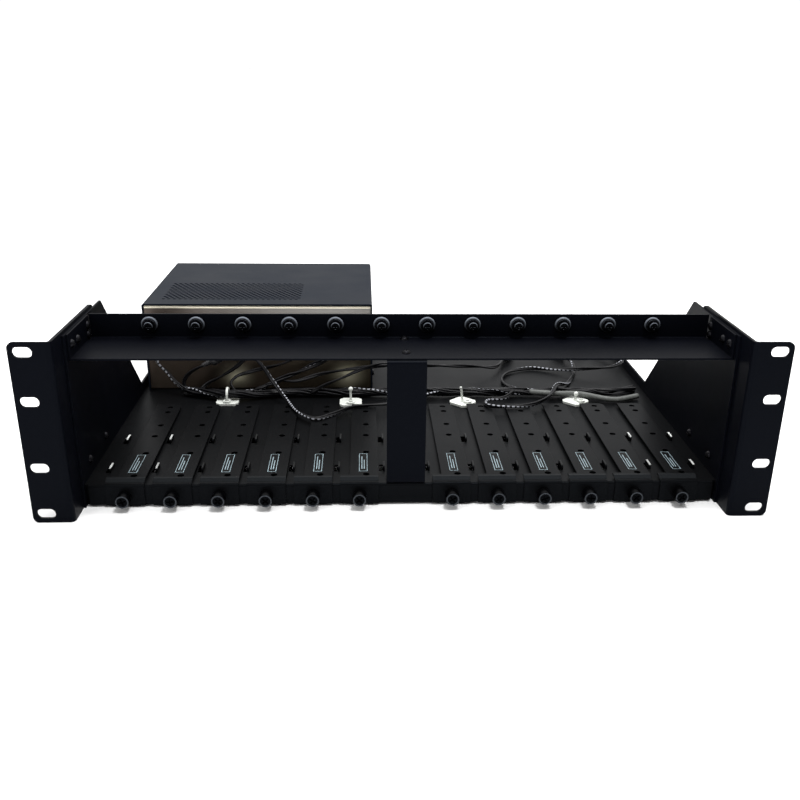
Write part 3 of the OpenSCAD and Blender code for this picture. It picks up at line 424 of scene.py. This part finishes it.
# %% Plugs on the loose leads
neck_l, grip_l, barrel_l, rib_pitch = 8.0, 18.0, 9.0, 1.8
for name in ("dc_lead_2", "dc_lead_6", "dc_lead_7", "dc_lead_8"):
    end = paths[name][-1]
    way = (paths[name][-1] - paths[name][-2]).normalized()
    grip = [(0, 0.05), (1.75, 0.05)]
    for k in range(4):
        z, wider = 0.6 + k * rib_pitch, 0.22 * k
        grip += [(1.9 + wider, z), (1.9 + wider, z + 1.1),
                 (1.55 + wider, z + 1.2), (1.55 + wider, z + 1.7)]
    grip += [(3.0, neck_l), (4.1, neck_l + 0.4), (4.3, neck_l + 2)]
    for k in range(6):
        z = neck_l + 4 + k * rib_pitch
        grip += [(4.3, z), (4.0, z + 0.3), (4.0, z + 0.9), (4.3, z + 1.2)]
    grip += [(4.3, neck_l + grip_l - 0.6), (3.9, neck_l + grip_l), (0, neck_l + grip_l)]
    mesh = new_bmesh()
    add_turned(mesh, rounded(grip, 0.18, 2), end, way)
    body = to_object(mesh, name.replace("lead", "plug_grip"), plug_plastic)
    tip = neck_l + grip_l
    mesh = new_bmesh()
    add_turned(mesh, rounded([(0, tip - 0.5), (2.7, tip - 0.5), (2.7, tip + barrel_l - 0.3),
                              (2.4, tip + barrel_l), (1.3, tip + barrel_l), (1.25, tip + 0.8),
                              (0, tip + 0.8)], 0.15, 2), end, way)
    barrel = to_object(mesh, name.replace("lead", "plug_barrel"), nickel)
    for piece in (body, barrel):
        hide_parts("dc_plugs")
    length = round(path_length(paths[name]), 3)
    tuple(paths[name][0])
    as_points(spaced(paths[name]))
for name in ("dc_lead_1", "dc_lead_3", "dc_lead_4", "dc_lead_5"):
    length = round(path_length(paths[name]), 3)
    tuple(paths[name][0])
    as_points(spaced(paths[name]))
print("leads declared", len(leads))

# %% [markdown]
# ## The harness
# Behind the carriers the leads run together in a loose bundle. The model holds one fat cable there.
# A single tube would look like a hose, so we lay separate strands round the same line and
# let them twist slowly. A thicker output cable joins at the first clip, and a grey cable leaves
# at the right.

# %% Strands round a line
drift_steps = 38


def add_strands(mesh, path, strands, offset_mm, twist_mm, seed=100):
    """Twin leads that wind round a path. Each strand is (start share, end share, tone)."""
    total = path_length(path)
    for s, (start, end, tone) in enumerate(strands):
        strand, run, last = [], 0.0, None
        wobble = random.Random(seed + s)
        shifts = [wobble.uniform(-0.5, 0.5) for _ in range(drift_steps + 2)]
        for p, t, u, v in frames_along(path):
            run += (p - last).length if last is not None else 0.0
            last = p
            if not start <= run / total <= end:
                continue
            at = run / total * drift_steps
            k, part = int(at), at - int(at)
            drift = shifts[k] * (1 - part) + shifts[k + 1] * part
            a = 2 * math.pi * (s / len(strands) + run / (twist_mm * mm)) + drift
            strand.append(p + (u * math.cos(a) + v * math.sin(a)) * offset_mm * mm)
        add_tube(mesh, strand, twin_section(0.92, 0.72, 16), tone, 70 + 9 * s, s)


print("strands drift in", drift_steps, "steps")

# %% Harness
trunk = smooth_path(((-177, 9, 20), (-158, 2, 21), (-140, -6, 22.4), (-120, -1, 20.8), (-100, 4, 20),
                     (0, 5, 20), (100, 5, 20), (160, 4, 20), (186, 3, 20), (203, 10, 20)), 3)
branch = smooth_path(((-34, 23.9, 66), (-34.5, 16, 65), (-44, 14, 55), (-73, 15, 39), (-98, 8, 30),
                      (-114, 1, 24.5), (-122, -1, 21)), 3)
tail = smooth_path(((112, 4, 20), (134, -2, 20.6), (152, -2.6, 20.6), (180, -12, 18.6),
                    (203, -3, 18.6)), 3)
loop = smooth_path(((-72, 1, 21), (-60, 3.5, 27), (-46, 6.5, 32), (-28, 9.5, 39), (-10, 12, 43),
                    (6, 11, 39), (20, 5, 25)), 3)
mesh = new_bmesh()
add_strands(mesh, trunk, ((0, 1, 0.0), (0, 0.72, 1.0), (0, 0.76, 0.0), (0, 1, 0.0), (0, 0.74, 1.0),
                          (0, 1, 0.0), (0, 0.78, 0.0)), 2.3, 150)
add_strands(mesh, branch, ((0, 1, 0.0), (0, 1, 1.0)), 1.0, 60)
add_tube(mesh, loop, twin_section(0.8, 0.66, 16), 0.0, 80)
harness = to_object(mesh, "harness_strands", black_lead)
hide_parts("dc_harness")
mesh = new_bmesh()
add_tube(mesh, tail, round_section(2.2, 16))
tail_cable = to_object(mesh, "harness_tail", grey_lead)
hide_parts("dc_harness")
print("harness", len(harness.data.polygons), "faces")

# %% [markdown]
# ## Powder coat
# Every sheet of the chassis is sprayed with black powder that is then baked. Close up it has a fine
# orange peel, its shine varies slowly, a little dust lies on what faces up, and the cut edges are
# paler: partly a thinner, lighter film, partly a painted highlight along each edge. The Bevel node
# rounds the edges for the light only, and the same node tells where an edge is.

# %% Powder coat finish
def powder_coat(name, colour, rough=0.42, peel=0.22, dust=0.006, edge=0.5, shine=0.1, lay_on=None):
    """Black powder paint. A function given as lay_on may lay painted light over part of it."""
    made, node = new_material(name)
    place_of = node("ShaderNodeTexCoord").outputs["Object"]
    grain = node("ShaderNodeTexNoise", {"Scale": 1300, "Detail": 3}, {"Vector": place_of}).outputs["Fac"]
    wave = node("ShaderNodeTexNoise", {"Scale": 420, "Detail": 1}, {"Vector": place_of}).outputs["Fac"]
    cloud = node("ShaderNodeTexNoise", {"Scale": 16, "Detail": 5}, {"Vector": place_of}).outputs["Fac"]
    geometry = node("ShaderNodeNewGeometry")
    round_edge = node("ShaderNodeBevel", {"Radius": 0.00035}, samples=4).outputs[0]
    turned = node("ShaderNodeVectorMath", {}, {0: round_edge, 1: geometry.outputs["True Normal"]},
                  operation="DOT_PRODUCT").outputs["Value"]
    on_edge = ramp_between(node, turned, 0.995, 0.80, 0, edge)
    edge_patch = multiply(node, on_edge, ramp_between(node, cloud, 0.35, 0.65))
    facing = node("ShaderNodeSeparateXYZ", {}, {0: geometry.outputs["True Normal"]}).outputs[2]
    settled = ramp_between(node, facing, 0.7, 1.0, 0, dust)
    dusty = multiply(node, settled, ramp_between(node, grain, 0.45, 0.75))
    body = blend_colour(node, ramp_between(node, cloud, 0.3, 0.7), colour,
                        tuple(c * 1.25 for c in colour))
    # The cut edges turn paler: partly a thinner film, partly a painted edge highlight.
    thin_edge_film_and_painted_highlight = blend_colour(node, edge_patch, body, tuple(c * 2.0 + 0.004 for c in colour))
    paint = blend_colour(node, dusty, thin_edge_film_and_painted_highlight, (0.42, 0.41, 0.38))
    if lay_on:
        paint = lay_on(node, place_of, geometry, paint)
    dull = ramp_between(node, cloud, 0.3, 0.7, rough - 0.05, rough + 0.05)
    height = node("ShaderNodeMath", {}, {0: wave, 1: grain}, operation="ADD").outputs[0]
    bump = node("ShaderNodeBump", {"Strength": peel, "Distance": 0.00008},
                {"Height": height, "Normal": round_edge}).outputs[0]
    shader = node("ShaderNodeBsdfPrincipled",
                  {"Specular IOR Level": shine, "Specular Tint": (0.72, 0.84, 1.0, 1.0)},
                  {"Base Color": paint, "Roughness": dull, "Normal": bump})
    node("ShaderNodeOutputMaterial", links={"Surface": shader.outputs[0]})
    return made


frame_black = powder_coat("frame_black", (0.0012, 0.0014, 0.0026), shine=0.036)
cover_black = powder_coat("cover_black", (0.0048, 0.0068, 0.0112), 0.46, shine=0.03)
print("plain coats", frame_black.name, cover_black.name)

# %% [markdown]
# ## Small places that catch the light
# On the real object the outer lances, the rims of the front knobs and the fillets of the rail
# screws catch the light, and the slope of each carrier looks as pale as the tongue behind it. The
# true way to get this is a glossy shader and well placed lamps. Our lamps did not give glints this
# small, so this is a shortcut: a band of positions in the object's own space picks the place, and a
# paler tone is laid into the paint. It moves with the piece, but it does not change as a real glint
# does when the viewer walks round, so a learner should try the lamps first.

# %% Painted glints on lances and painted light on slopes
def position(node, place_of):
    """The three coordinates of a point, in the object's own space."""
    return node("ShaderNodeSeparateXYZ", {}, {0: place_of}).outputs


def painted_lance_glints(node, place_of, geometry, paint):
    """The lances stand above the deck; the tops of those near the ends get a painted glint."""
    spot = position(node, place_of)
    outward = node("ShaderNodeMath", {}, {0: spot[0]}, operation="ABSOLUTE").outputs[0]
    on_top = ramp_between(node, spot[2], 18.3 * mm, 18.7 * mm)
    share = multiply(node, on_top, ramp_between(node, outward, 145 * mm, 185 * mm, 0.02, 1.0))
    return blend_colour(node, share, paint, (0.80, 0.82, 0.80))


def painted_slope_light(node, place_of, geometry, paint):
    """Painted light: lifts the tone of the slope between a carrier's foot and its tongue."""
    spot = position(node, place_of)
    share = multiply(node, ramp_between(node, spot[2], 16.85 * mm, 17.0 * mm),
                     ramp_between(node, spot[1], -161.0 * mm, -161.5 * mm))
    return blend_colour(node, share, paint, (0.011, 0.012, 0.013))


sheet_tone = (0.0021, 0.0022, 0.0025)
deck_black = powder_coat("deck_black", sheet_tone, 0.40, shine=0.04, lay_on=painted_lance_glints)
tray_black = powder_coat("tray_black", sheet_tone, 0.40, shine=0.04, lay_on=painted_slope_light)
print("sheet coats", deck_black.name, tray_black.name)

# %% Painted highlights on rims
def painted_rim_highlight(node, place_of, geometry, paint):
    """A painted highlight: a paler ring on the raised rim of a front knob."""
    on_rim = ramp_between(node, position(node, place_of)[1], -178.68 * mm, -178.76 * mm)
    return blend_colour(node, on_rim, paint, (0.038, 0.042, 0.048))


# Where each fillet starts and ends along the screw, and how strong its painted highlight is
fillets_mm = ((-120.12, -119.15, 1.0), (-121.38, -121.05, 0.5), (-124.16, -123.65, 0.8))


def painted_step_highlights(node, place_of, geometry, paint):
    """A rail screw is turned in three steps; each fillet has a painted highlight where it faces up."""
    reach = position(node, place_of)[1]
    upward = position(node, geometry.outputs["True Normal"])[2]
    for front, back, most in fillets_mm:
        band = multiply(node, ramp_between(node, reach, front * mm, (front + 0.1) * mm),
                        ramp_between(node, reach, back * mm, (back - 0.1) * mm))
        share = multiply(node, band, ramp_between(node, upward, -0.3, 0.6, 0.0, most))
        paint = blend_colour(node, share, paint, (0.14, 0.155, 0.18))
    return paint


knob_tone = (0.0006, 0.0006, 0.0008)
knob_gloss = powder_coat("knob_gloss", knob_tone, 0.25, peel=0.03, dust=0, edge=0.0, shine=0.05,
                         lay_on=painted_step_highlights)
knob_dark = powder_coat("knob_dark", knob_tone, 0.30, peel=0.05, dust=0, edge=0.0, shine=0.03,
                        lay_on=painted_rim_highlight)
print("knob coats", knob_gloss.name, knob_dark.name)

# %% [markdown]
# ## Steel with painted reflections
# The supply box has a bare front of rolled steel. It mirrors the room in long soft smears, brown to
# the left and silver to the right, with a bright fold under the cover and two spots where the light
# pools. A perfect mirror would show too little of that, because our room is empty, so these
# reflections are painted into the steel by position: the drift of tone, the highlight on the fold and
# the two spots. A metal shader does the rest.

# %% Steel of the supply box, with painted reflections
front_y_mm, fold_z_mm, squash = 24.9, 86.2, 1.3
# Where the two painted spots of light sit on the front, across and up, in mm
painted_glow_spots_mm = ((-136, 27.5), (-42, 27.5))


def steel_with_painted_reflections(name):
    """Painted reflections on bare sheet, brown to olive and silver, with two spots of light."""
    made, node = new_material(name)
    place_of = node("ShaderNodeTexCoord").outputs["Object"]
    across, _, up = position(node, place_of)
    # The drift of tone across and up the front is a painted reflection of the room
    share = ramp_between(node, across, -205 * mm, -120 * mm)
    further = ramp_between(node, across, -140 * mm, -30 * mm)
    cloud = node("ShaderNodeTexNoise", {"Scale": 30, "Detail": 4}, {"Vector": place_of}).outputs["Fac"]
    brown = blend_colour(node, share, (0.085, 0.066, 0.052), (0.070, 0.052, 0.038))
    low = blend_colour(node, further, brown, (0.055, 0.046, 0.030))
    silver = blend_colour(node, ramp_between(node, across, -190 * mm, -60 * mm),
                          (0.075, 0.058, 0.048), (0.22, 0.21, 0.195))
    painted_smears = blend_colour(node, ramp_between(node, up, 72 * mm, 82 * mm), low, silver)
    stained = blend_colour(node, ramp_between(node, cloud, 0.45, 0.8, 0, 0.3), painted_smears,
                           (0.03, 0.025, 0.02))
    squashed = node("ShaderNodeMapping", {"Scale": (1, 1, squash)}, {"Vector": place_of}).outputs[0]
    # Two soft round spots of painted reflection lie over the colour
    spots = []
    for x, z in painted_glow_spots_mm:
        middle = (x * mm, front_y_mm * mm, z * mm * squash)
        apart = node("ShaderNodeVectorMath", {1: middle}, {0: squashed}, operation="DISTANCE")
        spots.append(ramp_between(node, apart.outputs["Value"], 20 * mm, 0.0, 0, 0.95))
    both = node("ShaderNodeMath", {}, {0: spots[0], 1: spots[1]}, operation="MAXIMUM").outputs[0]
    soft = node("ShaderNodeMath", {1: 2.0}, {0: both}, operation="POWER").outputs[0]
    wear_and_painted_reflection = blend_colour(node, soft, stained, (0.95, 0.90, 0.66))
    # A painted highlight along the fold under the cover
    painted_fold_highlight = ramp_between(node, up, fold_z_mm * mm, (fold_z_mm + 0.4) * mm)
    wear_and_painted_reflection = blend_colour(node, painted_fold_highlight, wear_and_painted_reflection, (1.0, 0.93, 0.74))
    stretched = node("ShaderNodeMapping", {"Scale": (0.05, 1, 1)}, {"Vector": place_of}).outputs[0]
    lines = node("ShaderNodeTexNoise", {"Scale": 900, "Detail": 4}, {"Vector": stretched}).outputs["Fac"]
    dull = ramp_between(node, lines, 0.3, 0.7, 0.22, 0.26)
    round_edge = node("ShaderNodeBevel", {"Radius": 0.0003}, samples=4).outputs[0]
    bump = node("ShaderNodeBump", {"Strength": 0.01, "Distance": 0.0001},
                {"Height": lines, "Normal": round_edge}).outputs[0]
    shader = node("ShaderNodeBsdfPrincipled", {"Metallic": 0.6},
                  {"Base Color": wear_and_painted_reflection, "Roughness": dull, "Normal": bump})
    node("ShaderNodeOutputMaterial", links={"Surface": shader.outputs[0]})
    return made


steel = steel_with_painted_reflections("box_steel")
print("steel", steel.name, "with", len(painted_glow_spots_mm), "bright spots")

# %% [markdown]
# ## Hand out the finishes
# The small things are left: plated screws, a green circuit board, a black socket, soft rubber and
# white nylon. Then a list says which node wears which finish. Screws and carriers come by the
# dozen, so they are told by the start of their names.

# %% Which node gets which finish
screw_black = bare_metal("black_zinc", (0.012, 0.012, 0.014), 0.36)
board_green = moulded("board_green", (0.03, 0.16, 0.07), 0.4)
socket_black = moulded("socket_black", (0.006, 0.006, 0.007), 0.42, shine=0.2)
rubber = moulded("grommet_rubber", (0.012, 0.012, 0.012), 0.6)
nylon = moulded("nylon_white", (0.66, 0.68, 0.64), 0.35, shine=0.5)
finishes = {
    "chassis_deck": deck_black, "left_side_panel": frame_black, "right_side_panel": frame_black,
    "left_rack_ear": frame_black, "right_rack_ear": frame_black, "top_rail": frame_black,
    "centre_plate": frame_black, "pan_head_screws": screw_black, "psu_base": steel,
    "psu_cover": cover_black, "psu_board": board_green, "ac_inlet": socket_black,
    "outlet_grommets": rubber, "cable_clips": nylon,
}
for name, node_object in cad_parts.items():
    finish = finishes.get(name)
    if name.startswith("carrier_screw") or name.startswith("rail_screw"):
        finish = knob_gloss
    elif name.startswith("carrier"):
        finish = tray_black
    if finish:
        node_object.data.materials.clear()
        node_object.data.materials.append(finish)
print("finished", len(finishes), "kinds of node")

# %% [markdown]
# ## Front knobs
# The model's knobs are plain fluted turnings. A real one is finely knurled, has a raised rim and a
# cross recess, and each stops at its own angle when it is tightened. A lathe outline gives the
# body; the knurl is added by moving each point of the grip in or out; the recess is a cross cut
# into the end face, with walls that narrow to a smaller cross. Turning each knob by its own angle
# keeps the row from looking stamped.

# %% A knurled knob with a cross recess
def cross_outline(reach, half_w):
    """The twelve corners of a cross."""
    r, w = reach, half_w
    return [(r, -w), (r, w), (w, w), (w, r), (-w, r), (-w, w),
            (-r, w), (-r, -w), (-w, -w), (-w, -r), (w, -r), (w, -w)]


def add_knob(mesh, outline_mm, grip_mm, face_mm, at, turn, steps=96, teeth=32, cut_mm=0.22):
    """Spins an outline about -y, knurls its grip and sinks a cross into its end face."""
    start = Vector(at)

    def point(x, z, out):
        return mesh.verts.new(start + Vector((x, -out, z)) * mm)

    rings = []
    for r, out in outline_mm:
        ring = []
        for k in range(steps):
            a = 2 * math.pi * k / steps + turn
            cut = cut_mm * (0.5 - 0.5 * math.cos(2 * math.pi * teeth * k / steps))
            reach = r - cut if grip_mm[0] <= out <= grip_mm[1] and r > 4 else r
            ring.append(point(reach * math.cos(a), reach * math.sin(a), out))
        rings.append(ring)
    for low, high in zip(rings, rings[1:]):
        for k in range(steps):
            mesh.faces.new((low[k], low[(k + 1) % steps], high[(k + 1) % steps], high[k])).smooth = True
    mesh.faces.new(rings[0][::-1])
    face_out, sink = face_mm
    levels = []
    for share, out in ((1.0, face_out), (0.62, face_out - sink)):
        corners = []
        for x, z in cross_outline(2.6 * share, 0.55 * share):
            cosine, sine = math.cos(turn * 1.7), math.sin(turn * 1.7)
            corners.append(point(x * cosine - z * sine, x * sine + z * cosine, out))
        levels.append(corners)
    for k in range(12):
        mesh.faces.new((levels[0][k], levels[0][(k + 1) % 12], levels[1][(k + 1) % 12], levels[1][k]))
    mesh.faces.new(levels[1])
    edges = [mesh.edges.get((rings[-1][k], rings[-1][(k + 1) % steps])) for k in range(steps)]
    edges += [mesh.edges.get((levels[0][k], levels[0][(k + 1) % 12])) for k in range(12)]
    bmesh.ops.triangle_fill(mesh, use_beauty=True, edges=edges)


print("the cross has", len(cross_outline(2.6, 0.55)), "corners")

# %% Twelve front knobs
knob_outline = rounded([(1.75, -7.4), (1.75, 0), (3.6, 0.02), (3.6, 1.5), (4.2, 1.6), (4.68, 2.3),
                        (4.68, 8.7), (4.3, 9.3), (3.9, 9.45), (3.55, 9.4), (3.4, 9.1), (3.3, 9.1)],
                       0.25, 2)
place_pitch_mm, lip_y_mm, knob_z_mm = 31.2, -169.5, 8.2


def places_from_middle():
    """Six places to the left of the middle one and six to the right, which stays empty."""
    return [k for k in range(-6, 7) if k != 0]


spin = random.Random(7)
for k, place in enumerate(places_from_middle()):
    at = Vector((place * place_pitch_mm, lip_y_mm, knob_z_mm)) * mm
    mesh = new_bmesh()
    add_knob(mesh, knob_outline, (2.0, 8.9), (9.1, 1.5), at, spin.uniform(0, 2 * math.pi))
    name = "carrier_screw_%02d" % (k + 1)
    knob = to_object(mesh, "knob_%02d" % (k + 1), knob_dark, "tray_screw_%02d" % (k + 1))
    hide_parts(name)
print("knobs", 12)

# %% [markdown]
# ## Labels on the carriers
# Each tongue carries one small sticker between its first two holes. It is left bare: a printed
# border and two plain bars on dark film. The border and the bars are thin raised strips, as
# thick as printing ink, so they hold their shape at any distance; a printed picture would blur.
# Every label rides on its own carrier.

# %% A thin plate
def add_plate(mesh, low, high):
    """A thin box between two corners, in metres."""
    x0, y0, z0, x1, y1, z1 = *low, *high
    v = [mesh.verts.new(c) for c in (
        (x0, y0, z0), (x1, y0, z0), (x1, y1, z0), (x0, y1, z0),
        (x0, y0, z1), (x1, y0, z1), (x1, y1, z1), (x0, y1, z1))]
    for ids in ((0, 3, 2, 1), (4, 5, 6, 7), (0, 1, 5, 4), (1, 2, 6, 5), (2, 3, 7, 6), (3, 0, 4, 7)):
        mesh.faces.new([v[i] for i in ids])


label_w, label_l, film_t, ink_t, line_w = 6.4, 31.0, 0.08, 0.03, 0.38
print("a label is", label_w, "by", label_l, "mm")

# %% Labels
label_film = moulded("label_film", (0.0016, 0.0024, 0.0030), 0.4, grain=1400, depth=0.05, shine=0.06)
label_ink = moulded("label_ink", (0.40, 0.52, 0.57), 0.5, grain=1600, depth=0.05, shine=0.2)
label_shift, label_front, tongue_top, inset = 2.6, -154.5, 18.6, 0.3
for k, place in enumerate(places_from_middle()):
    cx = place * place_pitch_mm + label_shift
    x0, x1 = cx - label_w / 2, cx + label_w / 2
    y0, y1 = label_front, label_front + label_l
    z0 = tongue_top + 0.01
    z1, z2 = z0 + film_t, z0 + film_t + ink_t
    film = new_bmesh()
    add_plate(film, [c * mm for c in (x0, y0, z0)], [c * mm for c in (x1, y1, z1)])
    ink = new_bmesh()
    a0, a1, b0, b1 = x0 + inset, x1 - inset, y0 + inset, y1 - inset
    bars = [(a0, b0, a0 + line_w, b1), (a1 - line_w, b0, a1, b1),
            (a0 + line_w, b0, a1 - line_w, b0 + line_w), (a0 + line_w, b1 - line_w, a1 - line_w, b1)]
    for left, start, end in ((1.7, 4, 5), (3.3, 4, 11)):
        bars.append((a0 + left, b0 + start, a0 + left + 0.6, b1 - end))
    for ax, ay, bx, by in bars:
        add_plate(ink, [c * mm for c in (ax, ay, z1)], [c * mm for c in (bx, by, z2)])
    body = "tray_%02d" % (k + 1)
    to_object(film, "label_film_%02d" % (k + 1), label_film, body)
    to_object(ink, "label_ink_%02d" % (k + 1), label_ink, body)
print("labels", 12)

# %% [markdown]
# ## Floor
# The chassis stands on a plain pale floor. A curved backdrop would show a grey band where it rises,
# so the floor is flat and wide, and runs on to a white horizon.

# %% Floor
made, node = new_material("floor_white")
place_of = node("ShaderNodeTexCoord").outputs["Object"]
grain = node("ShaderNodeTexNoise", {"Scale": 300, "Detail": 3}, {"Vector": place_of}).outputs["Fac"]
pale = blend_colour(node, grain, (0.94, 0.94, 0.94), (0.91, 0.91, 0.91))
shader = node("ShaderNodeBsdfPrincipled", {"Roughness": 0.85, "Specular IOR Level": 0.1},
              {"Base Color": pale})
node("ShaderNodeOutputMaterial", links={"Surface": shader.outputs[0]})
half = 14.0
data = bpy.data.meshes.new("floor")
corners = [(-half, -half, 0), (half, -half, 0), (half, half, 0), (-half, half, 0)]
data.from_pydata(corners, [], [(0, 1, 2, 3)])
floor = bpy.data.objects.new("floor", data)
data.materials.append(made)
scene.collection.objects.link(floor)
print("floor", 2 * half, "m wide")

# %% [markdown]
# ## Light
# Black paint shows by what it mirrors, so the room matters more than the lamps. The room is white
# and brightest above and behind, and darker in front, which keeps the fronts black and the tops
# grey. A large soft lamp hangs above, a weak one stands at the front left, and a small one puts a
# glint on the steel.

# %% The white room
world = bpy.data.worlds.new("white_studio")
world.use_nodes = True
tree = world.node_tree
way = tree.nodes.new("ShaderNodeTexCoord")
parts = tree.nodes.new("ShaderNodeSeparateXYZ")
tree.links.new(way.outputs["Generated"], parts.inputs[0])


def world_ramp(source, low, high, to_low, to_high):
    n = tree.nodes.new("ShaderNodeMapRange")
    n.interpolation_type = "SMOOTHSTEP"
    for slot, value in ((1, low), (2, high), (3, to_low), (4, to_high)):
        n.inputs[slot].default_value = value
    tree.links.new(source, n.inputs[0])
    return n.outputs[0]


height = world_ramp(parts.outputs[2], 0.2, 0.9, 1.05, 1.8)
rear = world_ramp(parts.outputs[1], -0.6, 0.4, 0.34, 1.0)
strength = tree.nodes.new("ShaderNodeMath")
strength.operation = "MULTIPLY"
tree.links.new(height, strength.inputs[0])
tree.links.new(rear, strength.inputs[1])
tree.nodes["Background"].inputs["Color"].default_value = (1, 1, 1, 1)
tree.links.new(strength.outputs[0], tree.nodes["Background"].inputs["Strength"])
scene.world = world
print("world", world.name)

# %% Lamps
def soft_light(name, place_m, aim_m, size_m, power):
    """A square lamp that faces a point."""
    data = bpy.data.lights.new(name, "AREA")
    data.shape, data.size, data.energy = "SQUARE", size_m, power
    lamp = bpy.data.objects.new(name, data)
    scene.collection.objects.link(lamp)
    lamp.location = place_m
    lamp.rotation_euler = (Vector(aim_m) - Vector(place_m)).to_track_quat("-Z", "Y").to_euler()


soft_light("overhead", (0.1, 0.4, 1.7), (0, 0, 0), 1.4, 26)
soft_light("front_left", (-1.0, -1.2, 0.9), (0, 0, 0.05), 0.7, 6)
soft_light("glint", (0.15, -0.45, 1.25), (0, -0.05, 0.05), 0.22, 9)
scene.view_settings.view_transform = "Standard"
